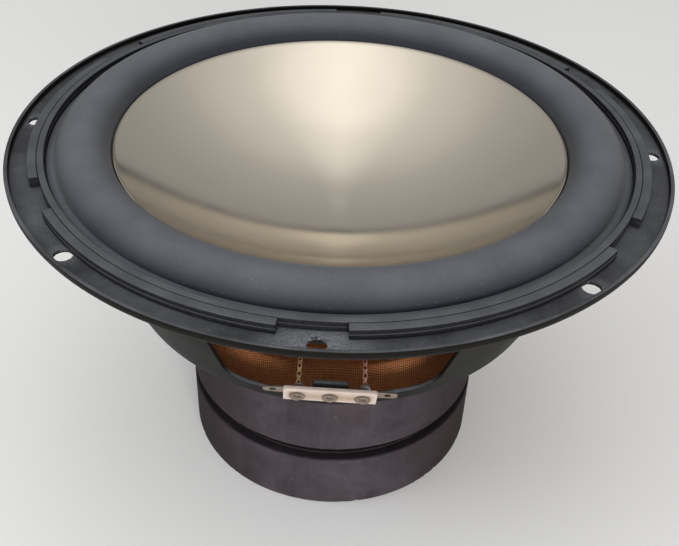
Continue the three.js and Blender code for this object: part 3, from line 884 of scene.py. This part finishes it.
def pierce(bowl, vertices, middle, half, runs, edge, turn=0):
    """Rings of faces that close in from a patch of the grid on a hole, and the patch's cells."""
    low, high = (int(i) for i in np.searchsorted(bowl.run, runs))
    columns, rows = 2 * half, high - low
    patch = {((middle - half + c) % FINE, low + r) for c in range(columns) for r in range(rows)}
    cells = square_edge(columns, rows)
    centre_run = edge(bowl, 1, 0)[1]
    outer = [(low + r) * FINE + (middle - half + c) % FINE for c, r in cells]
    starts = [((c - half) * STEP, bowl.run[low + r]) for c, r in cells]
    ends = []
    for angle, along in starts:
        side = 1 if along > centre_run else -1
        reach = bowl.run[high if side > 0 else low] - centre_run
        ends.append(edge(bowl, angle / (half * STEP), abs((along - centre_run) / reach) * side))
    faces = []
    for k in range(1, PATCH_RINGS + 1):
        t = 1 - (1 - k / PATCH_RINGS) ** 1.6
        inner = []
        for (a0, r0), (a1, r1) in zip(starts, ends):
            inner.append(len(vertices))
            angle = middle * STEP + turn + a0 + (a1 - a0) * t
            vertices.append(bowl.point(angle, r0 + (r1 - r0) * t))
        faces += [
            (outer[n - 1], outer[n], inner[n], inner[n - 1]) for n in range(len(outer))
        ]
        outer = inner
    return faces, patch


def build_shell():
    """The pressed bowl as one sheet, with its windows and mounting holes pierced cleanly."""
    bowl = Bowl()
    vertices, faces, missing = [], [], set()
    for along in bowl.run:
        vertices += [bowl.point(STEP * j + bowl.twist(along), along) for j in range(FINE)]
    heights = [bowl.at_height(z) for z in WINDOW_PATCH_HEIGHTS]
    radii = [bowl.at_radius(r) for r in HOLE_PATCH_RADII]
    openings = [
        (i * FINE // WINDOWS, WINDOW_PATCH_COLUMNS, heights, window_edge)
        for i in range(WINDOWS)
    ] + [
        (i * FINE // MOUNTING_HOLES - 2, HOLE_PATCH_COLUMNS, radii, hole_edge, FLANGE_TWIST)
        for i in range(MOUNTING_HOLES)
    ]
    for opening in openings:
        rings, patch = pierce(bowl, vertices, *opening)
        faces += rings
        missing |= patch
    for i in range(len(bowl.run) - 1):
        for j in range(FINE):
            if (j, i) not in missing:
                k = (j + 1) % FINE
                faces.append((i * FINE + j, i * FINE + k, (i + 1) * FINE + k, (i + 1) * FINE + j))
    shell = add_object("basket_shell", vertices, faces, PAINT)
    slopes = [p.normal.z for p in shell.data.polygons if p.center.z / MM > FLANGE_TOP - 1]
    if max(slopes) < -min(slopes):
        shell.data.flip_normals()
    shape_with(
        shell,
        SOLIDIFY={"thickness": SHEET * MM, "offset": -1, "use_even_offset": True},
        BEVEL=bevel(0.3),
    )
    return shell


def strip_frame():
    turn = Euler((math.radians(STRIP_LEAN), math.radians(STRIP_TURN), 0))
    return Matrix.Translation(Vector(STRIP_CENTRE) * MM) @ turn.to_matrix().to_4x4()


def flat_plate(name, outline, holes, front, thickness, material, edge):
    """A flat piece in the strip's frame: outlines in (x, z), its front face at y = front."""
    bm = bmesh.new()
    for loop in [outline, *holes]:
        verts = [bm.verts.new((x * MM, front * MM, z * MM)) for x, z in loop]
        for a, b in zip(verts, verts[1:] + verts[:1]):
            bm.edges.new((a, b))
    bmesh.ops.triangle_fill(bm, use_beauty=True, edges=bm.edges)
    bmesh.ops.recalc_face_normals(bm, faces=bm.faces)
    if bm.faces[:][0].normal.y > 0:
        bmesh.ops.reverse_faces(bm, faces=bm.faces)
    mesh = bpy.data.meshes.new(name)
    bm.to_mesh(mesh)
    bm.free()
    mesh.materials.append(material)
    obj = bpy.data.objects.new(name, mesh)
    bpy.context.scene.collection.objects.link(obj)
    shape_with(obj, SOLIDIFY={"thickness": thickness * MM, "offset": -1}, BEVEL=bevel(edge))
    return obj


def circle(x, z, radius):
    sides = 32
    return [
        (x + radius * math.cos(math.tau * k / sides),
         z + radius * math.sin(math.tau * k / sides))
        for k in range(sides)
    ]


def mark_wear(shell):
    """Scratched paint round the mounting holes, most of all on the front one."""
    points = points_mm(shell)
    angle = np.degrees(np.arctan2(points[:, 0], -points[:, 1]))
    radius = np.hypot(points[:, 0], points[:, 1])
    spacing = 360 / MOUNTING_HOLES
    offset = (angle - MOUNTING_TURN + spacing / 2) % spacing - spacing / 2
    away = np.hypot(np.radians(offset) * radius, radius - MOUNTING_CIRCLE_RADIUS)
    front = np.abs(angle - MOUNTING_TURN) < spacing / 2
    reach = np.where(front, 17.0, 4.0)
    strength = np.where(front, 1.0, 0.4)
    wear = np.clip(1 - (away - MOUNTING_HOLE_RADIUS) / reach, 0, 1) * strength
    on_floor = (points[:, 2] > FLANGE_TOP - 0.4) & (radius < FLANGE_RADIUS - LIP_THICKNESS - 0.8)
    set_attribute(shell, "wear", wear * on_floor)


def build_basket():
    shell = build_shell()
    mark_wear(shell)
    half = TONGUE_WIDTH / 2
    outline = rounded([
        (-half, TONGUE_TOP - TONGUE_HEIGHT, 0), (half, TONGUE_TOP - TONGUE_HEIGHT, 0),
        (half, TONGUE_TOP, 2), (-half, TONGUE_TOP, 2),
    ])
    tongue = flat_plate("tongue", outline, [], STRIP_GAP, SHEET, PAINT, 0.3)
    tongue.data.transform(strip_frame())
    basket = joined("basket_shell", [shell, tongue])
    belongs(basket, FRAME_BODY, "black_paint", "basket")


# ---- Gasket ----


ARC_STEP = 1.4  # degrees between the sections of a curved bar


def arc_block(name, inner, outer, bottom, top, start, end, material):
    """A curved bar with a rounded section, from one angle to another."""
    section = rounded([
        (inner, bottom, 0.25), (outer, bottom, 0.25), (outer, top, 0.35), (inner, top, 0.35)
    ], steps=3)
    columns = max(4, round((end - start) / ARC_STEP))
    vertices = [
        polar(start + (end - start) * j / columns, r, z)
        for j in range(columns + 1) for r, z in section
    ]
    return add_object(name, vertices, skin(columns + 1, len(section)), material)


def build_gasket():
    middle = (GASKET_BOTTOM + GASKET_TOP) / 2
    seam = 0.12
    layers = [(GASKET_BOTTOM, middle - seam), (middle + seam, GASKET_TOP)]
    pitch = 360 / GASKET_NOTCHES
    for level, (bottom, top) in zip(("lower", "upper"), layers):
        parts = [ring(
            f"gasket_inner_{level}", GASKET_INNER_RADIUS, GASKET_SEAM_RADIUS - 0.1,
            bottom, top, 0.3, BOARD,
        )]
        for i in range(GASKET_NOTCHES):
            start = pitch * i + NOTCH_TURN + NOTCH_HALF_ANGLE
            parts.append(arc_block(
                f"gasket_arc_{level}_{i}", GASKET_SEAM_RADIUS + 0.05, GASKET_OUTER_RADIUS,
                bottom, top, start, start + pitch - 2 * NOTCH_HALF_ANGLE, BOARD,
            ))
        layer = joined(f"gasket_{level}", parts)
        belongs(layer, FRAME_BODY, "gasket_board", "gasket_ring")
    line = ring(
        "gasket_glue_line", GASKET_INNER_RADIUS + 0.15, GASKET_SEAM_RADIUS - 0.25,
        middle - 0.3, middle + 0.3, 0.1, GLUE,
    )
    belongs(line, FRAME_BODY, "gasket_board")


# ---- Cone ----


def dish_height(radius, depth=0):
    """Height of a sphere that lies the given depth under the dish's upper face."""
    return DISH_CURVE_CENTRE - math.sqrt((DISH_CURVE_RADIUS + depth) ** 2 - radius**2)


def build_cone():
    """The one-piece dish, with a narrow rolled rim that catches the light."""
    rim_width, steps = 0.9, 64
    foot = CONE_RADIUS - rim_width
    upper = [(r, dish_height(r)) for r in np.linspace(0, foot - 0.8, steps)]
    upper += [
        (foot - 0.3, dish_height(foot - 0.3)), (foot, dish_height(foot) + 0.03),
        (foot + 0.25, dish_height(foot) + 0.3), (CONE_RADIUS - 0.4, CONE_EDGE_HEIGHT),
        (CONE_RADIUS - 0.1, CONE_EDGE_HEIGHT - 0.08), (CONE_RADIUS, CONE_EDGE_HEIGHT - 0.3),
    ]
    lower = [
        (r, dish_height(r, CONE_THICKNESS)) for r in np.linspace(CONE_RADIUS - 0.05, 0, steps)
    ]
    cone = turned("cone_dish", [*upper, *lower], CHAMPAGNE)
    belongs(cone, MOVING_BODY, "champagne_metal", "cone")


# ---- Surround and spider ----


def follow(obj, node):
    """Bakes the piece's transform into its mesh and hides the CAD node that it replaces."""
    points = points_mm(obj)
    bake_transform(obj)
    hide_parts(node)


def roll(half_width, height, steps):
    """Points along a half roll, from its inner foot over the crest to the outer foot."""
    return [
        (ROLL_CENTRE_RADIUS - half_width * math.cos(math.pi * k / steps),
         ROLL_FOOT_HEIGHT + height * math.sin(math.pi * k / steps))
        for k in range(steps + 1)
    ]


def build_surround():
    gap = 0.3
    roll_height = SURROUND_TOP - ROLL_FOOT_HEIGHT
    bottom = GASKET_BOTTOM
    top = bottom + ROLL_THICKNESS
    foot = ROLL_CENTRE_RADIUS + ROLL_HALF_WIDTH

    def under_cone(radius):
        return dish_height(radius, CONE_THICKNESS + gap)

    upper = [
        (SURROUND_LIP_RADIUS, under_cone(SURROUND_LIP_RADIUS)),
        (CONE_RADIUS + 0.2, under_cone(CONE_RADIUS)),
        *roll(ROLL_HALF_WIDTH, roll_height, 40)[:-1],
        (foot + 0.2, top + 0.25), (foot + 0.5, top + 0.05), (foot + 1, top),
        (SURROUND_OUTER_RADIUS - 0.4, top), (SURROUND_OUTER_RADIUS, top - 0.4),
    ]
    lower = [
        (SURROUND_OUTER_RADIUS, bottom + 0.2), (SURROUND_OUTER_RADIUS - 0.2, bottom),
        (foot - 0.8, bottom),
        *reversed(roll(ROLL_HALF_WIDTH - ROLL_THICKNESS, roll_height - ROLL_THICKNESS, 28)),
        (CONE_RADIUS + 1, under_cone(CONE_RADIUS) - ROLL_THICKNESS),
        (SURROUND_LIP_RADIUS, under_cone(SURROUND_LIP_RADIUS) - ROLL_THICKNESS),
    ]
    surround = turned("surround_roll", upper + lower, RUBBER, sharp_angle=50)
    follow(
        surround, "surround"
    )


def build_spider():
    steps = SPIDER_WAVES * 14
    reach = SPIDER_LANDING_RADIUS - SPIDER_NECK_RADIUS
    wave = [
        (SPIDER_NECK_RADIUS + reach * i / steps,
         SPIDER_BASE + SPIDER_WAVE_HEIGHT * (1 - math.cos(math.tau * i * SPIDER_WAVES / steps)))
        for i in range(steps + 1)
    ]
    neck = FORMER_RADIUS + 0.3
    lower = [(neck, SPIDER_BASE + 0.3), (neck + 0.3, SPIDER_BASE), *wave,
             (SPIDER_RADIUS, SPIDER_BASE)]
    upper = [(SPIDER_RADIUS, SPIDER_BASE + SPIDER_THICKNESS)]
    upper += [(r, z + SPIDER_THICKNESS) for r, z in reversed(wave)]
    upper += [(neck + 1.6, SPIDER_BASE + 1.9), (neck + 1, SPIDER_TOP - 0.8),
              (neck + 0.7, SPIDER_TOP), (neck, SPIDER_TOP)]
    spider = turned("spider_cloth", resampled(lower + upper, 3), CLOTH, sharp_angle=60)
    follow(spider, "spider")


# ---- Voice coil ----


def build_coil():
    inside = FORMER_RADIUS + COIL_GAP
    tube = ring(
        "former_tube", FORMER_RADIUS - FORMER_WALL, FORMER_RADIUS, FORMER_BOTTOM, FORMER_TOP,
        0.15, FOIL,
    )
    belongs(tube, MOVING_BODY, "former_foil", "coil_former")
    wrap = ring("collar_wrap", inside, COLLAR_RADIUS, COLLAR_BOTTOM, COLLAR_TOP, 0.15, KRAFT)
    belongs(wrap, MOVING_BODY, "kraft_paper", "former_collar")
    pitch = (WINDING_TOP - WINDING_BOTTOM) / COIL_TURNS
    wire = [(inside, WINDING_BOTTOM)]
    for i in range(COIL_TURNS):
        wire += [
            (WINDING_RADIUS - 0.2 * (1 - math.sin(math.pi * k / 4)),
             WINDING_BOTTOM + pitch * (i + k / 4))
            for k in range(4)
        ]
    wire += [(WINDING_RADIUS - 0.2, WINDING_TOP), (inside, WINDING_TOP)]
    winding = turned("wire_winding", wire, COPPER, FINE // 2)
    belongs(winding, MOVING_BODY, "copper_wire", "coil_winding")


# ---- Terminal strip ----


def build_board():
    half = BOARD_WIDTH / 2
    terminals = [-TERMINAL_SPACING, 0, TERMINAL_SPACING]
    outline = resampled(rounded([
        (-half, -BOARD_HEIGHT / 2, 0.9), (half, -BOARD_HEIGHT / 2, 0.9),
        (half, BOARD_HEIGHT / 2, 0.9), (-half, BOARD_HEIGHT / 2, 0.9),
    ]), 1.2)
    holes = [circle(x, -TERMINAL_DROP, TERMINAL_HOLE_RADIUS) for x in terminals]
    board = flat_plate("board", outline, holes, -BOARD_THICKNESS, BOARD_THICKNESS, CREAM, 0.35)
    points = points_mm(board)
    wear = np.zeros(len(points))
    for x in terminals:
        away = np.hypot(points[:, 0] - x, points[:, 2] + TERMINAL_DROP)
        wear = np.maximum(wear, np.clip(1.5 - away / 2.6, 0, 1))
    set_attribute(board, "wear", wear)
    board.matrix_world = strip_frame()
    belongs(board, FRAME_BODY, "cream_board", "terminal_board")


def build_lug(side, name):
    half = LUG_WIDTH / 2
    taper = 0.62 if side < 0 else 0.8
    outline = rounded([
        (LUG_INNER_END, -half, 1), (LUG_SHOULDER, -half, 3), (LUG_TIP, -half * taper, 1.6),
        (LUG_TIP, half * taper, 1.6), (LUG_SHOULDER, half, 3), (LUG_INNER_END, half, 1),
    ])
    outline = [(x, z - TERMINAL_DROP) for x, z in resampled(outline, 1)]
    holes = [
        circle(TERMINAL_SPACING, -TERMINAL_DROP, TERMINAL_HOLE_RADIUS),
        circle(LUG_HOLE_OFFSET, -TERMINAL_DROP, LUG_HOLE_RADIUS),
    ]
    lug = flat_plate(name, outline, holes, STRIP_GAP, LUG_THICKNESS, TINNED, 0.12)
    if side < 0:
        lug.data.transform(Matrix.Scale(-1, 4, (1, 0, 0)))
        lug.data.flip_normals()
    lug.matrix_world = strip_frame()
    return lug


def build_strip_rivet(x, name):
    """A turned-over tubular rivet: a rolled head round a hollow, its rim split by the punch."""
    front = BOARD_THICKNESS + STRIP_GAP * 0.4
    back = -(STRIP_GAP + (SHEET if x == 0 else LUG_THICKNESS) + STRIP_GAP)
    profile = rounded([
        (0, back - 0.7, 0), (2.1, back - 0.7, 0.4), (2.1, back, 0.2), (1.2, back, 0),
        (1.2, front, 0), (2.9, front, 0.15), (2.75, front + 0.75, 0.5), (1.9, front + 0.85, 0.5),
        (1.25, front + 0.35, 0.4), (0.95, front - 0.5, 0.3), (0, front - 0.6, 0),
    ], steps=4)
    rivet = turned(name, profile, TINNED, 48, sharp_angle=45)
    for vertex in rivet.data.vertices:
        point = vertex.co / MM
        radius = math.hypot(point.x, point.y)
        if point.z > front + 0.1 and radius > 1.2:
            petal = math.cos(6 * math.atan2(point.y, point.x) + x)
            vertex.co.z -= max(0, petal) ** 6 * 0.35 * MM
    rivet.data.transform(Matrix.Rotation(math.pi / 2, 4, "X"))
    rivet.data.transform(Matrix.Translation(Vector((x, 0, -TERMINAL_DROP)) * MM))
    rivet.matrix_world = strip_frame()
    belongs(rivet, FRAME_BODY, "tinned_brass", name.replace("rivet", "terminal_rivet"))


def blob(name, centre, size, material, seed):
    """A small uneven lump, in millimetres."""
    bm = bmesh.new()
    bmesh.ops.create_icosphere(bm, subdivisions=4, radius=1)
    for vertex in bm.verts:
        swell = 1 + 0.16 * noise.noise(vertex.co * 1.7 + Vector((seed, 0, 0)))
        vertex.co = Vector(
            (vertex.co.x * size[0], vertex.co.y * size[1], vertex.co.z * size[2])
        ) * swell + Vector(centre)
    vertices = [tuple(v.co) for v in bm.verts]
    faces = [[v.index for v in f.verts] for f in bm.faces]
    bm.free()
    return add_object(name, vertices, faces, material)


def build_strip():
    build_board()
    for side, word in ((-1, "left"), (1, "right")):
        lug = build_lug(side, f"lug_{word}")
        belongs(lug, FRAME_BODY, "tinned_brass", f"solder_lug_{word}")
    for x, word in ((-TERMINAL_SPACING, "left"), (0, "middle"), (TERMINAL_SPACING, "right")):
        build_strip_rivet(x, f"rivet_{word}")


# ---- Tinsel leads ----


def smooth_route(points, steps):
    """A Catmull-Rom curve through the points, at even steps of its length."""
    knots = [points[0] * 2 - points[1], *points, points[-1] * 2 - points[-2]]
    dense = []
    for a, b, c, d in zip(knots, knots[1:], knots[2:], knots[3:]):
        for k in range(24):
            t = k / 24
            dense.append(0.5 * (2 * b + (c - a) * t + (2 * a - 5 * b + 4 * c - d) * t**2
                                + (3 * b - a - 3 * c + d) * t**3))
    dense.append(points[-1])
    lengths = np.concatenate([[0], np.cumsum([(q - p).length for p, q in zip(dense, dense[1:])])])
    at = np.linspace(0, lengths[-1], steps + 1)
    even = [np.interp(at, lengths, [p[axis] for p in dense]) for axis in range(3)]
    return [Vector(p) for p in zip(*even)], lengths[-1]


BRAID_SIDES = 24
BRAID_STRANDS = 2
BRAID_PITCH = 7.6


def build_lead(side, name, material):
    """A braided lead: strands wound both ways stand out of a round cord."""
    route = [Vector((side * LEAD_OFFSET, y, z)) for y, z in LEAD_ROUTE]
    path, length = smooth_route(route, LEAD_STEPS)
    vertices, strands = [], []
    across = Vector((1, 0, 0))
    for i, point in enumerate(path):
        ahead = (path[min(i + 1, len(path) - 1)] - path[max(i - 1, 0)]).normalized()
        up = ahead.cross(across).normalized()
        twist = math.tau * length * i / LEAD_STEPS / BRAID_PITCH
        for k in range(BRAID_SIDES):
            turn = math.tau * k / BRAID_SIDES
            one = math.cos(BRAID_STRANDS * (turn + twist))
            other = math.cos(BRAID_STRANDS * (turn - twist))
            strand = max(one, other) * 0.5 + 0.5
            radius = LEAD_RADIUS * (0.84 + 0.16 * strand)
            vertices.append(point + radius * (math.cos(turn) * across + math.sin(turn) * up))
            strands.append(strand)
    lead = add_object(name, vertices, skin(len(path), BRAID_SIDES), material, sharp_angle=80)
    set_attribute(lead, "strand", strands)
    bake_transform(lead)
    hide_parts(name.replace("lead", "tinsel_lead"))


def build_leads():
    build_lead(-1, "lead_left", GOLD_TINSEL)
    build_lead(1, "lead_right", RED_TINSEL)
    for side, word in ((-1, "left"), (1, "right")):
        y, z = LEAD_ROUTE[0]
        joint = blob(f"solder_joint_{word}", (side * LEAD_OFFSET, y - 0.9, z - 0.4),
                     (2.0, 1.3, 1.7), SOLDER, side * 3.0)
        belongs(joint, FRAME_BODY, "tinned_brass")
        y, z = LEAD_ROUTE[-1]
        pad = blob(f"collar_joint_{word}", (side * LEAD_OFFSET, y + 0.5, z),
                   (2.1, 1.6, 2.1), SOLDER, side * 5.0)
        belongs(pad, MOVING_BODY, "copper_wire")


# ---- CAD nodes that are shown as they are ----


def finish_cad_nodes():
    for name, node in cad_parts.items():
        if node.hide_render:
            continue
        material = STEEL if name.startswith("basket_rivet") else COPPER
        node.data.materials.clear()
        node.data.materials.append(material)


# ---- Floor and light ----


def build_stage():
    half, level = 4000, -0.2
    corners = [(-half, -half, level), (half, -half, level), (half, half, level), (-half, half, level)]
    add_object("floor", corners, [(0, 1, 2, 3)], pale_floor())


def add_panel(name, place, target, size, power, colour):
    data = bpy.data.lights.new(name, "AREA")
    data.shape = "RECTANGLE"
    data.size, data.size_y = size
    data.energy = power
    data.color = colour
    panel = bpy.data.objects.new(name, data)
    panel.location = place
    panel.rotation_mode = "QUATERNION"
    panel.rotation_quaternion = (Vector(target) - Vector(place)).to_track_quat("-Z", "Y")
    panel.visible_glossy = False
    bpy.context.scene.collection.objects.link(panel)


def build_world():
    """A pale room, brighter with height, under a soft light that widens towards the near side."""
    world = bpy.data.worlds.new("studio")
    bpy.context.scene.world = world
    world.use_nodes = True
    room = Graph(world.node_tree)
    x, y, z = room.split(room.node("ShaderNodeTexCoord").outputs["Generated"])
    stops = [(0, 0.32), (0.45, 0.39), (0.7, 0.5), (0.82, 0.68), (0.92, 0.8), (0.97, 0.95)]
    shades = [(height, grey(light, (1.01, 1.0, 0.985))) for height, light in stops]
    half_width = room.math("MAXIMUM", room.math("MULTIPLY_ADD", y, -0.62, 0.48), 0.02)
    off_middle = room.math("DIVIDE", room.math("ABSOLUTE", x), half_width)
    inside = room.math("MAXIMUM", room.math("SUBTRACT", 1, off_middle), 0)
    glow = room.times(inside, room.span(z, 0.35, 0.6))
    background = room.nodes["Background"]
    room.set(background.inputs["Color"], room.ramp(z, *shades))
    room.set(background.inputs["Strength"], room.math("MULTIPLY_ADD", glow, 0.42, 0.97))


def build_light():
    build_world()
    add_panel("left_panel", (-1.2, -0.2, 0.9), (0, 0, 0.1), (0.8, 0.8), 5, (0.95, 0.98, 1))
    add_panel("front_panel", (0.2, -1.2, 0.4), (0, -0.08, 0.08), (0.7, 0.4), 11, (1, 0.98, 0.96))
    bpy.context.scene.view_settings.view_transform = "Standard"


build_leads()
build_motor()
build_basket()
build_gasket()
build_cone()
build_surround()
build_spider()
build_coil()
build_strip()
finish_cad_nodes()
build_stage()
build_light()
